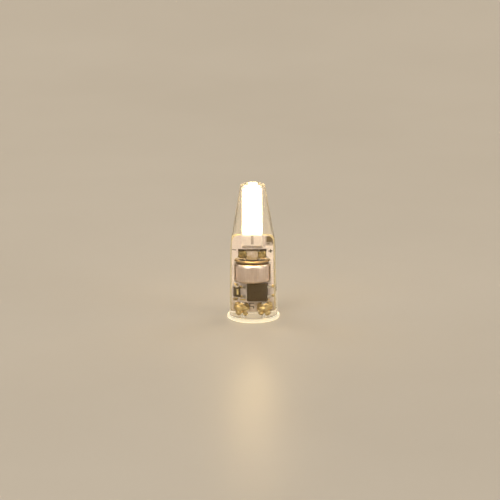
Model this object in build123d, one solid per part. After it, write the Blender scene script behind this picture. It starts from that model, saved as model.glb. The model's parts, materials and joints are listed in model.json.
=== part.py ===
from build123d import *
import os

# Led capsule bulb with two contact pins, in millimetres.
# The origin is the centre of the base face, and +Z points to the tip. The front, -Y, is the side of the
# board that carries the led strip, the rectifier and the diode. All but the pins' free ends is cast in.

# Circuit board
board_offset = -0.15  # the board was cast a little left of the capsule's axis
board_bottom = 1.6
board_thickness = 1.0
board_corner = 2.0
arm_width = 0.7  # board left on each side of the widest part of the window
window_bevel = 0.2
window_throat = 5.0  # width of the window above the capacitor

# Contact pins
pin_spacing = 4.0
pin_diameter = 0.75
pin_reach = 8.0
pin_tip_bevel = 0.15
pin_root_diameter = 1.1
pin_flat = 0.15  # depth of the flat on which each root lies against the board
pin_land = 2.65  # length of the pin root that lies on the board

# Led strip
strip_width = 3.8
strip_thickness = 0.8
strip_length = 15.0
strip_land = 1.1  # board between the window and the strip's foot
strip_overlap = 2.5  # length of the foot that lies on the board
phosphor_width = 3.64
phosphor_thickness = 0.32
phosphor_start = 3.1  # bare ceramic below the phosphor
phosphor_end = 0.35  # bare ceramic above the phosphor
phosphor_bevel = 0.12
pad_gap = 0.56
pad_length = 2.5
pad_thickness = 0.08
pad_inset = 0.16

# Electrolytic capacitor, which stands in the window with its bung end up
can_diameter = 6.3
can_height = 5.8
can_bottom_bevel = 0.4
groove_depth = 0.42
groove_width = 0.9
groove_floor = 0.3
rim_band = 0.42
rim_bevel = 0.15
rim_inset = 0.14
rim_thickness = 0.3
rim_grip = 0.25  # how far the rim reaches over the bung's edge
can_wall = 0.23  # at the groove, which holds the bung
bung_thickness = 1.4
bung_sink = 0.12  # depth of the bung's crown below the rim
lead_diameter = 0.44
lead_pitch = 2.5
lead_room = 2.7  # height of the window above the can
lead_end_gap = 0.3  # between each lead's end and the top of the window
window_clearance = 0.15
tongue_clearance = 0.06  # between each lead and the board's tongue, to be filled with solder

# Bridge rectifier
rectifier_width = 3.9
rectifier_length = 4.7
rectifier_height = 1.3
rectifier_offset = 0.9  # its place right of the board's middle
rectifier_gap = 0.3  # above the pin roots
rectifier_bevel = 0.35
rectifier_lead_pitch = 2.5
rectifier_lead_width = 0.6
rectifier_lead_reach = 1.05
window_margin = 0.1

# Diode
diode_width = 1.4
diode_length = 2.6
diode_height = 1.05
diode_offset = -2.97
diode_lead_width = 0.75
diode_lead_reach = 0.6

# Driver chip on the rear
chip_width = 1.6
chip_length = 2.9
chip_height = 1.05
chip_offset = -2.0
chip_rise = 5.7
chip_lead_pitch = 0.95
chip_lead_width = 0.4
chip_lead_reach = 0.6

# What the moulded parts have in common
mould_draft = 6.0
standoff = 0.1
lead_thickness = 0.2
lead_shoulder = 0.12
lead_foot_share = 0.45
lead_root = 0.25  # length of each lead inside its moulding

# Power inductor on the rear
coil_offset = 1.75
coil_rise = 5.3
coil_foot_radius = 1.6
coil_cap_radius = 1.5
coil_hub_radius = 0.7
coil_flange = 0.42
coil_height = 1.95
winding_radius = 1.36
coil_pad_width = 2.0
coil_pad_length = 0.9
coil_pad_thickness = 0.12
coil_pad_overhang = 0.12

# Chip resistors and ceramic capacitors on the rear
chip_part_length = 2.0
chip_part_width = 1.25
chip_part_cap = 0.38
chip_part_step = 0.04
resistor_height = 0.5
ceramic_height = 0.95
resistor_places = ((-2.1, 2.5), (-2.1, 0.95))  # from the board's middle and its bottom edge
ceramic_places = ((1.9, 2.65), (1.9, 0.95))

# Solder
pin_solder_width = 2.7
pin_solder_spread = 0.1  # how much further than its pin each heap sits from the middle
pin_solder_inset = 0.12
pin_solder_cover = 0.25  # solder in front of each pin's root
pin_solder_slope = 24.0
lead_solder_low = 0.5  # above the can
lead_solder_high = 0.45  # below the top of the window
lead_solder_crown = 0.2  # how far the solder swells out of the window
toe_solder_reach = 0.22
toe_solder_side = 0.08
chip_solder_width = 0.85
chip_solder_rise = 0.6  # share of a chip part's height that the solder climbs
strip_solder_fall = 0.8
strip_solder_gap = 0.3

# Silicone capsule
base_radius = 6.2
shoulder_radius = 5.86
shoulder_rise = 0.3  # above the strip's foot
tip_radius = 3.15
tip_bevel = 0.35
tip_cover = 0.95
lip_radius = 6.75
lip_height = 0.8
lip_bevel = 0.28

# Places that follow from the sizes
board_front = pin_root_diameter / 2 - pin_flat
board_back = board_front + board_thickness
board_middle = (board_front + board_back) / 2
pin_top = board_bottom + pin_land
rectifier_middle = pin_top + rectifier_gap + rectifier_length / 2
window_bottom = rectifier_middle + rectifier_length / 2 + window_margin
can_bottom = window_bottom + window_clearance
can_top = can_bottom + can_height
window_top = can_top + lead_room
window_width = can_diameter + 2 * window_clearance
bung_diameter = can_diameter - 2 * groove_depth - 2 * can_wall
rim_opening = bung_diameter - 2 * rim_grip
tongue_width = lead_pitch - lead_diameter - 2 * tongue_clearance
board_width = window_width + 2 * arm_width
strip_bottom = window_top + strip_land
board_top = strip_bottom + strip_overlap
strip_front = board_front - strip_thickness
body_height = strip_bottom + strip_length + tip_cover

FRONT = (board_front, Vector(0, -1, 0))
REAR = (board_back, Vector(0, 1, 0))
LEFT = Vector(-1, 0, 0)
RIGHT = Vector(1, 0, 0)
UP = Vector(0, 0, 1)
DOWN = Vector(0, 0, -1)


def turned(*outline):
    """A solid turned about Z from an outline that starts and ends on the axis."""
    return revolve(Plane.XZ * make_face(Polyline(*outline, close=True)), Axis.Z)


def slab(sketch, front, back):
    """A sketch in X and Z given its thickness between two depths in Y."""
    return extrude(Plane.XZ.offset(-back) * sketch, amount=back - front)


def along(side, x, z, heading):
    """A plane on a face of the board: its x runs along the heading, and its y runs out of the board."""
    depth, outward = side
    return Plane(origin=(x, depth, z), x_dir=heading, z_dir=heading.cross(outward))


def off(side, x, z, lift=0.0):
    """A plane that faces out of the board, with its x to the right and its origin lifted off the board."""
    depth, outward = side
    return Plane(origin=Vector(x, depth, z) + outward * lift, x_dir=RIGHT, z_dir=outward)


def group(*pieces):
    """Separate solids as one node."""
    return Compound([solid for piece in pieces for solid in piece.solids()])


def moulding(side, x, z, width, length, height):
    """A moulded case off the board: it narrows with the mould's draft on both sides of its parting line."""
    parting = standoff + height / 2
    outline = Rectangle(width, length)
    outer = off(side, x, z, parting)
    inner = Plane(origin=outer.origin, x_dir=outer.x_dir, z_dir=-outer.z_dir)
    halves = [extrude(plane * outline, height / 2, taper=mould_draft) for plane in (outer, inner)]
    return halves[0] + halves[1]


def gull_wing(plane, exit_height, reach, width):
    """A lead that leaves its case level, bends down to the board and ends in a flat foot."""
    heel = reach * (1 - lead_foot_share)
    half = lead_thickness / 2
    outline = Polyline(
        (-lead_root, exit_height + half),
        (lead_shoulder + half, exit_height + half),
        (heel + half, lead_thickness),
        (reach, lead_thickness),
        (reach, 0),
        (heel - half, 0),
        (lead_shoulder - half, exit_height - half),
        (-lead_root, exit_height - half),
        close=True,
    )
    return extrude(plane * make_face(outline), width / 2, both=True)


def toe_solder(plane, start, height, width):
    """Solder that slopes down from the end of a foot or a terminal."""
    slope = make_face(Polyline((start, 0), (start + toe_solder_reach, 0), (start, height), close=True))
    return extrude(plane * slope, width / 2 + toe_solder_side, both=True)


def window():
    """The window: as wide as the can below and narrower above, where the board's tongue parts the leads."""
    wide = window_width / 2
    narrow = window_throat / 2
    flare = can_top + window_clearance
    left = [
        (-wide, window_bottom),
        (-wide, flare),
        (-narrow, flare + wide - narrow),
        (-narrow, window_top),
        (-tongue_width / 2, window_top),
        (-tongue_width / 2, flare),
    ]
    right = [(-x, z) for x, z in reversed(left)]
    outline = make_face(Polyline(*left, *right, close=True))
    return chamfer(outline.vertices(), window_bevel)


def tongue():
    """The space of the board's tongue, through the full depth of the solder beside it."""
    low = can_top
    outline = Pos(board_offset, (low + window_top) / 2) * Rectangle(tongue_width, window_top - low)
    return slab(outline, board_front - lead_solder_crown, board_back + lead_solder_crown)


def circuit_board():
    height = board_top - board_bottom
    outline = Pos(0, board_bottom + height / 2) * Rectangle(board_width, height)
    outline = fillet(outline.vertices().sort_by(Axis.Y)[-2:], board_corner)
    return slab(Pos(board_offset, 0) * (outline - window()), board_front, board_back)


def contact_pin(x):
    """A stepped pin: a thick root in the silicone, flush with the base, and a thin free end, rounded off."""
    pin = turned(
        (0, -pin_reach),
        (pin_diameter / 2 - pin_tip_bevel, -pin_reach),
        (pin_diameter / 2, -pin_reach + pin_tip_bevel),
        (pin_diameter / 2, 0),
        (pin_root_diameter / 2, 0),
        (pin_root_diameter / 2, pin_top),
        (0, pin_top),
    )
    flat = Pos(0, (board_bottom + pin_top) / 2) * Rectangle(pin_root_diameter, pin_land)
    return Pos(x, 0, 0) * (pin - slab(flat, board_front, board_front + pin_root_diameter))


def led_substrate():
    middle = strip_bottom + strip_length / 2
    outline = Pos(board_offset, middle) * Rectangle(strip_width, strip_length)
    return slab(outline, strip_front, board_front)


def phosphor(front, outward):
    """A phosphor coat on one face of the strip. The resin falls off at its free edges."""
    height = strip_length - phosphor_start - phosphor_end
    middle = strip_bottom + phosphor_start + height / 2
    coat = slab(
        Pos(board_offset, middle) * Rectangle(phosphor_width, height),
        front,
        front + phosphor_thickness,
    )
    face = coat.faces().sort_by(Axis.Y)[-1 if outward > 0 else 0]
    return chamfer(face.edges(), phosphor_bevel)


def led_contact_pads():
    width = (strip_width - pad_gap) / 2 - pad_inset
    middle = strip_bottom + pad_inset + pad_length / 2
    pads = [
        slab(
            Pos(board_offset + side * (pad_gap + width) / 2, middle) * Rectangle(width, pad_length),
            strip_front - pad_thickness,
            strip_front,
        )
        for side in (-1, 1)
    ]
    return group(*pads)


def strip_solder():
    """Two slopes of solder that join the strip's foot to the board below it."""
    width = (strip_width - strip_solder_gap) / 2
    face = make_face(Polyline((0, 0), (strip_solder_fall, 0), (0, strip_thickness), close=True))
    fillets = [
        extrude(
            along(FRONT, board_offset + side * (strip_solder_gap + width) / 2, strip_bottom, DOWN) * face,
            width / 2,
            both=True,
        )
        for side in (-1, 1)
    ]
    return group(*fillets)


def capacitor_can():
    """A can drawn from one piece: a rolled groove below its mouth, and the rim curled in over the bung."""
    radius = can_diameter / 2
    neck = radius - groove_depth
    rim = radius - rim_inset
    groove_top = can_height - rim_band
    groove_bottom = groove_top - groove_width
    slope = (groove_width - groove_floor) / 2
    mouth = can_height - rim_thickness
    can = turned(
        (0, 0),
        (radius - can_bottom_bevel, 0),
        (radius, can_bottom_bevel),
        (radius, groove_bottom),
        (neck, groove_bottom + slope),
        (neck, groove_top - slope),
        (rim, groove_top),
        (rim, can_height - rim_bevel),
        (rim - rim_bevel, can_height),
        (rim_opening / 2, can_height),
        (rim_opening / 2, mouth),
        (bung_diameter / 2, mouth),
        (bung_diameter / 2, mouth - bung_thickness),
        (0, mouth - bung_thickness),
    )
    return Pos(board_offset, board_middle, can_bottom) * can


def lead_places():
    return [board_offset + side * lead_pitch / 2 for side in (-1, 1)]


def capacitor_leads():
    """Two straight leads that rise from the bung into the window, one on each side of the board's tongue."""
    low = can_top - rim_thickness - bung_thickness
    height = window_top - lead_end_gap - low
    leads = [
        Pos(x, board_middle, low + height / 2) * Cylinder(lead_diameter / 2, height) for x in lead_places()
    ]
    return group(*leads)


def capacitor_bung(leads):
    """The rubber bung: a disc held under the rim, with a crown in the rim's opening."""
    bottom = -rim_thickness - bung_thickness
    bung = turned(
        (0, bottom),
        (bung_diameter / 2, bottom),
        (bung_diameter / 2, -rim_thickness),
        (rim_opening / 2, -rim_thickness),
        (rim_opening / 2, -bung_sink),
        (0, -bung_sink),
    )
    return Pos(board_offset, board_middle, can_top) * bung - leads


def capacitor_solder(board, leads):
    """Solder that fills the window's throat on both sides of the tongue and holds the two leads."""
    low = can_top + lead_solder_low
    high = window_top - lead_solder_high
    fill = Pos(board_offset, (low + high) / 2) * Rectangle(window_throat, high - low)
    return slab(fill, board_front - lead_solder_crown, board_back + lead_solder_crown) - tongue() - leads


def two_sided_leads(side, x, z, case_width, case_height, rows, reach, width):
    """Leads on both sides of a case, and the solder at their toes. Rows holds the heights on each side."""
    leads = []
    solder = []
    for heading, heights in zip((LEFT, RIGHT), rows):
        for rise in heights:
            plane = along(side, x + heading.X * case_width / 2, z + rise, heading)
            leads.append(gull_wing(plane, standoff + case_height / 2, reach, width))
            solder.append(toe_solder(plane, reach, lead_thickness, width))
    return leads, solder


def rectifier():
    x = board_offset + rectifier_offset
    row = (-rectifier_lead_pitch / 2, rectifier_lead_pitch / 2)
    leads, solder = two_sided_leads(
        FRONT,
        x,
        rectifier_middle,
        rectifier_width,
        rectifier_height,
        (row, row),
        rectifier_lead_reach,
        rectifier_lead_width,
    )
    top = standoff + rectifier_height
    corner = make_face(Polyline((-rectifier_bevel, top), (0, top), (0, top - rectifier_bevel), close=True))
    side = along(FRONT, x - rectifier_width / 2, rectifier_middle, LEFT)
    bevel = extrude(side * corner, rectifier_length / 2, both=True)
    case = moulding(FRONT, x, rectifier_middle, rectifier_width, rectifier_length, rectifier_height)
    return case - bevel - leads, group(*leads), group(*solder)


def diode():
    x = board_offset + diode_offset
    leads = []
    solder = []
    for heading in (UP, DOWN):
        plane = along(FRONT, x, rectifier_middle + heading.Z * diode_length / 2, heading)
        leads.append(gull_wing(plane, standoff + diode_height / 2, diode_lead_reach, diode_lead_width))
        solder.append(toe_solder(plane, diode_lead_reach, lead_thickness, diode_lead_width))
    case = moulding(FRONT, x, rectifier_middle, diode_width, diode_length, diode_height)
    return case - leads, group(*leads), group(*solder)


def driver_chip():
    x = board_offset + chip_offset
    three = (-chip_lead_pitch, 0, chip_lead_pitch)
    two = (-chip_lead_pitch, chip_lead_pitch)
    middle = board_bottom + chip_rise
    leads, solder = two_sided_leads(
        REAR, x, middle, chip_width, chip_height, (three, two), chip_lead_reach, chip_lead_width
    )
    case = moulding(REAR, x, middle, chip_width, chip_length, chip_height)
    return case - leads, group(*leads), solder


def power_inductor():
    """An open drum core on two terminal plates, wound between its flanges."""
    x = board_offset + coil_offset
    z = board_bottom + coil_rise
    seat = off(REAR, x, z, coil_pad_thickness)
    window_low = coil_flange
    window_high = coil_height - coil_flange
    core = turned(
        (0, 0),
        (coil_foot_radius, 0),
        (coil_foot_radius, window_low),
        (coil_hub_radius, window_low),
        (coil_hub_radius, window_high),
        (coil_cap_radius, window_high),
        (coil_cap_radius, coil_height),
        (0, coil_height),
    )
    winding = turned(
        (0, window_low), (winding_radius, window_low), (winding_radius, window_high), (0, window_high)
    )
    winding = winding - core
    plates = []
    solder = []
    for heading in (LEFT, RIGHT):
        end = coil_foot_radius + coil_pad_overhang
        plane = along(REAR, x, z, heading)
        place = Pos(end - coil_pad_length / 2, coil_pad_thickness / 2)
        plate = place * Rectangle(coil_pad_length, coil_pad_thickness)
        plates.append(extrude(plane * plate, coil_pad_width / 2, both=True))
        solder.append(toe_solder(plane, end, coil_pad_thickness, coil_pad_width))
    return seat * core, seat * winding, group(*plates), solder


def chip_parts(places, height):
    """Chip resistors or ceramic capacitors: a block between two end caps that stand a little proud of it."""
    blocks = []
    caps = []
    solder = []
    half = chip_part_length / 2
    for offset, rise in places:
        x = board_offset + offset
        z = board_bottom + rise
        for heading in (LEFT, RIGHT):
            plane = along(REAR, x, z, heading)
            end = Vector(x, board_back + height / 2, z) + heading * half
            section = Plane(origin=end, x_dir=UP, z_dir=-heading)
            caps.append(extrude(section * Rectangle(chip_part_width, height), chip_part_cap))
            solder.append(toe_solder(plane, half, height * chip_solder_rise, chip_solder_width))
        block = Box(
            chip_part_length - 2 * chip_part_cap,
            height - 2 * chip_part_step,
            chip_part_width - 2 * chip_part_step,
        )
        blocks.append(Pos(x, board_back + height / 2, z) * block)
    return group(*blocks), group(*caps), solder


def pin_solder(pins):
    """A heap of solder over the root of each pin, which slopes down to the board on all sides."""
    low = board_bottom + pin_solder_inset
    high = pin_top - pin_solder_inset
    depth = board_front + pin_root_diameter / 2 + pin_solder_cover
    outline = Rectangle(pin_solder_width, high - low)
    heaps = [
        extrude(
            off(FRONT, side * (pin_spacing / 2 + pin_solder_spread), (low + high) / 2) * outline,
            depth,
            taper=pin_solder_slope,
        )
        for side in (-1, 1)
    ]
    return group(*[heap - pins for heap in heaps])


def silicone_body(embedded):
    """The clear capsule, cast round all that it holds: flat base, thin lip, slim waist and tapered nose."""
    capsule = turned(
        (0, 0),
        (lip_radius, 0),
        (lip_radius, lip_height - lip_bevel),
        (lip_radius - lip_bevel, lip_height),
        (base_radius, lip_height),
        (shoulder_radius, strip_bottom + shoulder_rise),
        (tip_radius, body_height - tip_bevel),
        (tip_radius - tip_bevel, body_height),
        (0, body_height),
    )
    for piece in embedded:
        capsule = capsule - piece.solids()
    return capsule


def build():
    board = circuit_board()
    pins = {
        "contact_pin_left": contact_pin(-pin_spacing / 2),
        "contact_pin_right": contact_pin(pin_spacing / 2),
    }
    leads = capacitor_leads()
    chip_body, chip_leads, chip_solder = driver_chip()
    core, winding, terminals, coil_solder = power_inductor()
    resistor_bodies, resistor_ends, resistor_solder = chip_parts(resistor_places, resistor_height)
    ceramic_bodies, ceramic_ends, ceramic_solder = chip_parts(ceramic_places, ceramic_height)
    nodes = {
        "circuit_board": board,
        **pins,
        "pin_solder": pin_solder(list(pins.values())),
        "led_substrate": led_substrate(),
        "phosphor_front": phosphor(strip_front - phosphor_thickness, -1),
        "phosphor_back": phosphor(board_front, 1),
        "led_contact_pads": led_contact_pads(),
        "strip_solder": strip_solder(),
        "capacitor_can": capacitor_can(),
        "capacitor_leads": leads,
        "capacitor_bung": capacitor_bung(leads),
        "capacitor_solder": capacitor_solder(board, leads),
        **dict(zip(("rectifier_body", "rectifier_leads", "rectifier_solder"), rectifier())),
        **dict(zip(("diode_body", "diode_leads", "diode_solder"), diode())),
        "driver_chip_body": chip_body,
        "driver_chip_leads": chip_leads,
        "inductor_core": core,
        "inductor_winding": winding,
        "inductor_terminals": terminals,
        "resistor_bodies": resistor_bodies,
        "resistor_ends": resistor_ends,
        "ceramic_bodies": ceramic_bodies,
        "ceramic_ends": ceramic_ends,
        "rear_solder": group(*chip_solder, *coil_solder, *resistor_solder, *ceramic_solder),
    }
    nodes["silicone_body"] = silicone_body(list(nodes.values()))
    return nodes


os.makedirs("parts", exist_ok=True)
for name, shape in build().items():
    export_step(shape, f"parts/{name}.step")
    print(name, round(shape.volume, 3))
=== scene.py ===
# %% [markdown]
# A small led bulb, cast in clear silicone
#
# The bulb is one block of clear silicone with everything inside it: a lit strip in the nose, a capacitor in a
# window of the board, a rectifier, a diode, and two pins that come out of the base. The measured model is
# loaded first as a fixed frame. Then each piece gets the shape and the finish that the real one has, from the
# inside out, and the silicone comes last.

import json
import math
import bmesh
import bpy
from mathutils import Matrix, Vector, noise

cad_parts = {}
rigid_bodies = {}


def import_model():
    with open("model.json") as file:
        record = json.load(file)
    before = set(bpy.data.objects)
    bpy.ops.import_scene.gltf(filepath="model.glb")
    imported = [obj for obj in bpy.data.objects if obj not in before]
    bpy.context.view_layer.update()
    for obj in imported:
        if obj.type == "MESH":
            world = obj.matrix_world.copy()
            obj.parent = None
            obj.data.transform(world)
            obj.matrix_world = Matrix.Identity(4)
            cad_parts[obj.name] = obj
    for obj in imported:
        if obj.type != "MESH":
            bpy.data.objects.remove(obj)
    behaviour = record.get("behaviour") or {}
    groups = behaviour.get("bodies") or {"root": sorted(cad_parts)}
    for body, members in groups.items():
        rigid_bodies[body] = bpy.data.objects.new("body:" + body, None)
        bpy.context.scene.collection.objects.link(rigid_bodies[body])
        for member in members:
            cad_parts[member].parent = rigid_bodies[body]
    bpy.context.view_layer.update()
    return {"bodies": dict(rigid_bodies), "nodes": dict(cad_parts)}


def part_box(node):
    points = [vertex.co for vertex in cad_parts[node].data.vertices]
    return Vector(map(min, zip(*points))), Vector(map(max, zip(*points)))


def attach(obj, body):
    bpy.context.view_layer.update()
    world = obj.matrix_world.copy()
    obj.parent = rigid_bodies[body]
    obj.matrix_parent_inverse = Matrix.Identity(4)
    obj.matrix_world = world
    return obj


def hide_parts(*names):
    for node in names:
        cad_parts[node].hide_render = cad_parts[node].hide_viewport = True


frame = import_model()

# %% [markdown]
# The view
#
# The photograph looks down on the bulb by about fourteen degrees, from far away, so upright lines stay nearly
# parallel. A long lens from two thirds of a metre gives that. The bulb leans left by a third of a degree in
# the frame, which is the camera's own roll. The aim is given as a point on the bulb, a little left of its
# axis.

# %% Place the camera
MM = 0.001
VIEW_HEIGHT = 17.68
VIEW_LEFT = 0.78
VIEW_FALL = 14.2
VIEW_DISTANCE = 660.0
VIEW_ROLL = -0.35
FOCAL_LENGTH = 184.6

fall = math.radians(VIEW_FALL)
aim = Vector((-VIEW_LEFT, 0, VIEW_HEIGHT)) * MM
back = Vector((0, -math.cos(fall), math.sin(fall)))
lens = bpy.data.cameras.new("long_lens")
lens.lens = FOCAL_LENGTH
lens.clip_start, lens.clip_end = 0.01, 20
camera = bpy.data.objects.new("camera", lens)
camera.location = aim + back * VIEW_DISTANCE * MM
turn = (-back).to_track_quat("-Z", "Y").to_matrix() @ Matrix.Rotation(math.radians(VIEW_ROLL), 3, "Z")
camera.rotation_euler = turn.to_euler()
bpy.context.scene.collection.objects.link(camera)
bpy.context.scene.camera = camera
bpy.context.scene.view_settings.view_transform = "Standard"
print("camera", [round(c, 3) for c in camera.location], "lens", lens.lens)

# %% [markdown]
# Making meshes in millimetres
#
# All the shapes below are made from points in millimetres and turned into metres at the end, so that a size
# in the code is the size on the part. A finished piece sits at the origin with its place in its mesh, because
# a pattern on object coordinates then stays put.

# %% Turn points into pieces
def new_object(name, bm, material, sharp):
    mesh = bpy.data.meshes.new(name)
    bm.to_mesh(mesh)
    bm.free()
    mesh.polygons.foreach_set("use_smooth", [True] * len(mesh.polygons))
    mesh.set_sharp_from_angle(angle=math.radians(sharp))
    mesh.materials.append(material)
    made = bpy.data.objects.new(name, mesh)
    bpy.context.scene.collection.objects.link(made)
    return made


def new_piece(name, bm, material, slot, stands_for=(), sharp=35):
    """A finished object from a bmesh in millimetres, riding on the one body."""
    bmesh.ops.remove_doubles(bm, verts=bm.verts, dist=1e-5)
    bmesh.ops.recalc_face_normals(bm, faces=bm.faces)
    bmesh.ops.scale(bm, vec=(MM, MM, MM), verts=bm.verts)
    piece = new_object(name, bm, material, sharp)
    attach(piece, "root" if "root" in frame["bodies"] else list(frame["bodies"])[0])
    if stands_for:
        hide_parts(*stands_for)
    print(name, len(piece.data.polygons), "faces")
    return piece


def add_marks(piece, name, value_at):
    """Stores a number at each point of a piece, for its finish to read by name."""
    marks = piece.data.attributes.new(name, "FLOAT", "POINT")
    for i, v in enumerate(piece.data.vertices):
        marks.data[i].value = value_at(v.co / MM)


# %% Helpers for points
STRAIGHT = 1.56  # half the angle at a corner that needs no rounding


def rounded(points, radii, steps=6):
    """A line of points in a plane, with each inner corner rounded by its radius."""
    line = [Vector(points[0])]
    for before, corner, after, radius in zip(points, points[1:], points[2:], radii):
        corner = Vector(corner)
        to_before = (Vector(before) - corner).normalized()
        to_after = (Vector(after) - corner).normalized()
        half = to_before.angle(to_after) / 2
        if radius <= 0 or half > STRAIGHT:
            line.append(corner)
            continue
        reach = radius / math.tan(half)
        centre = corner + (to_before + to_after).normalized() * radius / math.sin(half)
        start = corner + to_before * reach - centre
        end = corner + to_after * reach - centre
        sweep = start.angle(end) * (1 if start.cross(end) > 0 else -1)
        for i in range(steps + 1):
            line.append(centre + Matrix.Rotation(sweep * i / steps, 2) @ start)
    line.append(Vector(points[-1]))
    return line


def skin(bm, loops):
    """Joins loops of points by faces. A loop with one point closes the shape there."""
    count = max(len(loop) for loop in loops)
    for low, high in zip(loops, loops[1:]):
        for i in range(count):
            j = (i + 1) % count
            corners = (low[i % len(low)], low[j % len(low)], high[j % len(high)], high[i % len(high)])
            corners = list(dict.fromkeys(corners))
            if len(corners) > 2:
                bm.faces.new(corners)


def add_turned(bm, line, place=Matrix.Identity(4), steps=64):
    """Adds a turned shape to a bmesh. The line holds (radius, height) and starts and ends on the axis."""
    angles = [math.tau * i / steps for i in range(steps)]
    skin(bm, [[bm.verts.new(place @ Vector((radius * math.cos(a), radius * math.sin(a), height)))
               for a in (angles if radius > 1e-6 else [0.0])] for radius, height in line])


def soften(bm, points, edge, steps, place):
    """Bevels every edge between the points, and moves the result to its place."""
    edges = list(dict.fromkeys(e for v in points for e in v.link_edges))
    cut = bmesh.ops.bevel(bm, geom=edges, offset=edge, segments=steps, profile=0.5, affect="EDGES",
                          clamp_overlap=True)
    whole = list(dict.fromkeys([v for v in points if v.is_valid] + cut["verts"]))
    bmesh.ops.transform(bm, matrix=place, verts=whole)


def add_block(bm, size, place, edge=0.05, steps=2):
    """Adds a block with softened edges, centred on its place."""
    made = bmesh.ops.create_cube(bm, size=1.0)["verts"]
    bmesh.ops.scale(bm, vec=size, verts=made)
    soften(bm, made, edge, steps, place)


def build_blocks(name, blocks, edge, steps, *rest):
    """A piece made of soft-edged blocks, each given as (size, middle)."""
    bm = bmesh.new()
    for size, centre in blocks:
        add_block(bm, size, Matrix.Translation(centre), edge, steps)
    new_piece(name, bm, *rest)


def build_turned(name, line, place, steps, *rest, **more):
    bm = bmesh.new()
    add_turned(bm, line, place, steps)
    return new_piece(name, bm, *rest, **more)


def add_ball(bm, point_at):
    """Adds a fine ball, with each of its points moved to what point_at says for that direction."""
    ball = bmesh.new()
    bmesh.ops.create_icosphere(ball, subdivisions=5, radius=1.0)
    for v in ball.verts:
        v.co = point_at(v.co)
    take_in(bm, ball)


def take_in(bm, other):
    mesh = bpy.data.meshes.new("taken_in")
    other.to_mesh(mesh)
    other.free()
    bm.from_mesh(mesh)
    bpy.data.meshes.remove(mesh)


# %% [markdown]
# Where things sit
#
# The board stands upright in the bulb. The front face carries the strip, the rectifier and the diode, and the
# rear face carries the driver. A piece on the board is made flat in its own little frame, with x along the
# piece, y out of the board and z across it, and this cell turns that frame on to either face.

# %% Read the places of the parts from the frame
def box(node):
    low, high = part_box(node)
    return Vector(low) * 1000, Vector(high) * 1000


def middle(node):
    low, high = box(node)
    return (low + high) / 2


board_low, board_high = box("circuit_board")
board_front, board_back = board_low.y, board_high.y
board_middle = (board_front + board_back) / 2
board_x = middle("circuit_board").x


def on_board(front, x, z, heading=(1, 0)):
    """The frame of a piece on the board. Heading is a pair (x, z) that its own x runs along."""
    along = Vector((heading[0], 0, heading[1]))
    out = Vector((0, -1 if front else 1, 0))
    turned = Matrix((along, out, along.cross(out))).transposed().to_4x4()
    return Matrix.Translation((x, board_front if front else board_back, z)) @ turned


print("board", [round(v, 2) for v in (board_x, board_front, board_back)])

# %% [markdown]
# Short ways to write nodes
#
# A finish or a repeated shape is a tree of nodes. These few functions make one node each and hand back what
# it puts out, so that a tree reads like a sum: a range of values, a product, a mix of two colours.

# %% Helpers for nodes
def new_group(name, inputs, outputs, kind="ShaderNodeTree"):
    """A group with sockets given as (title, type) or (title, type, value)."""
    tree = bpy.data.node_groups.new(name, kind)
    for in_out, sockets in (("INPUT", inputs), ("OUTPUT", outputs)):
        for title, socket_type, *value in sockets:
            socket = tree.interface.new_socket(title, in_out=in_out, socket_type="NodeSocket" + socket_type)
            if value:
                socket.default_value = value[0]
    return tree, tree.nodes.new("NodeGroupInput").outputs, tree.nodes.new("NodeGroupOutput").inputs


def node(tree, kind, inputs={}, **settings):
    """Adds a node and gives what it puts out. An input takes a plain value or what another node puts out."""
    made = tree.nodes.new(kind)
    for name, value in settings.items():
        setattr(made, name, value)
    for name, value in inputs.items():
        socket = made.inputs[name]
        if isinstance(value, bpy.types.NodeSocket):
            tree.links.new(value, socket)
        else:
            socket.default_value = (*value, 1)[:4] if socket.type == "RGBA" else value
    return made.outputs


def group(tree, kind, inputs):
    return node(tree, "ShaderNodeGroup", inputs, node_tree=kind)


def maths(tree, operation, *values):
    return node(tree, "ShaderNodeMath", dict(enumerate(values)), operation=operation)[0]


def product(tree, first, *others):
    for other in others:
        first = maths(tree, "MULTIPLY", first, other)
    return first


def ramp(tree, value, low, high, to_low=0.0, to_high=1.0):
    """Turns the range from low to high into another one. Values past its ends stay at the ends."""
    return node(tree, "ShaderNodeMapRange", {"Value": value, "From Min": low, "From Max": high,
                                             "To Min": to_low, "To Max": to_high})[0]


def mix(tree, amount, first, second, blend_type="MIX"):
    return node(tree, "ShaderNodeMix", {0: amount, 6: first, 7: second}, data_type="RGBA",
                blend_type=blend_type)[2]


def cloud(tree, where, scale, detail, roughness=0.5):
    return node(tree, "ShaderNodeTexNoise",
                {"Vector": where, "Scale": scale, "Detail": detail, "Roughness": roughness})["Fac"]


def places(tree):
    """Object coordinates, in metres."""
    return node(tree, "ShaderNodeTexCoord")["Object"]


# %% [markdown]
# Patterns that many finishes share
#
# No real surface has one flat colour. Three small effects are used again and again here: a slow change of
# tone from handling and casting, a fine grain that breaks up the gloss, and drawn streaks on bare metal. Each
# is a node group with named sockets, built once and placed in each material with its own numbers. They read
# object coordinates, so the pattern is in metres and doesn't move with the view.

# %% Tone: a slow drift between two colours
tone, given, ends = new_group(
    "slow_tone", [("Scale", "Float", 400.0), ("Light", "Color", (0.8, 0.8, 0.8, 1)),
                  ("Dark", "Color", (0.6, 0.6, 0.6, 1)), ("Balance", "Float", 0.5)],
    [("Color", "Color"), ("Mask", "Float")])
drift = maths(tone, "SUBTRACT", cloud(tone, places(tone), given["Scale"], 4.0, 0.6), given["Balance"])
mask = ramp(tone, drift, -0.16, 0.16)
tone.links.new(mix(tone, mask, given["Light"], given["Dark"]), ends["Color"])
tone.links.new(mask, ends["Mask"])
print("group", tone.name)

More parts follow.
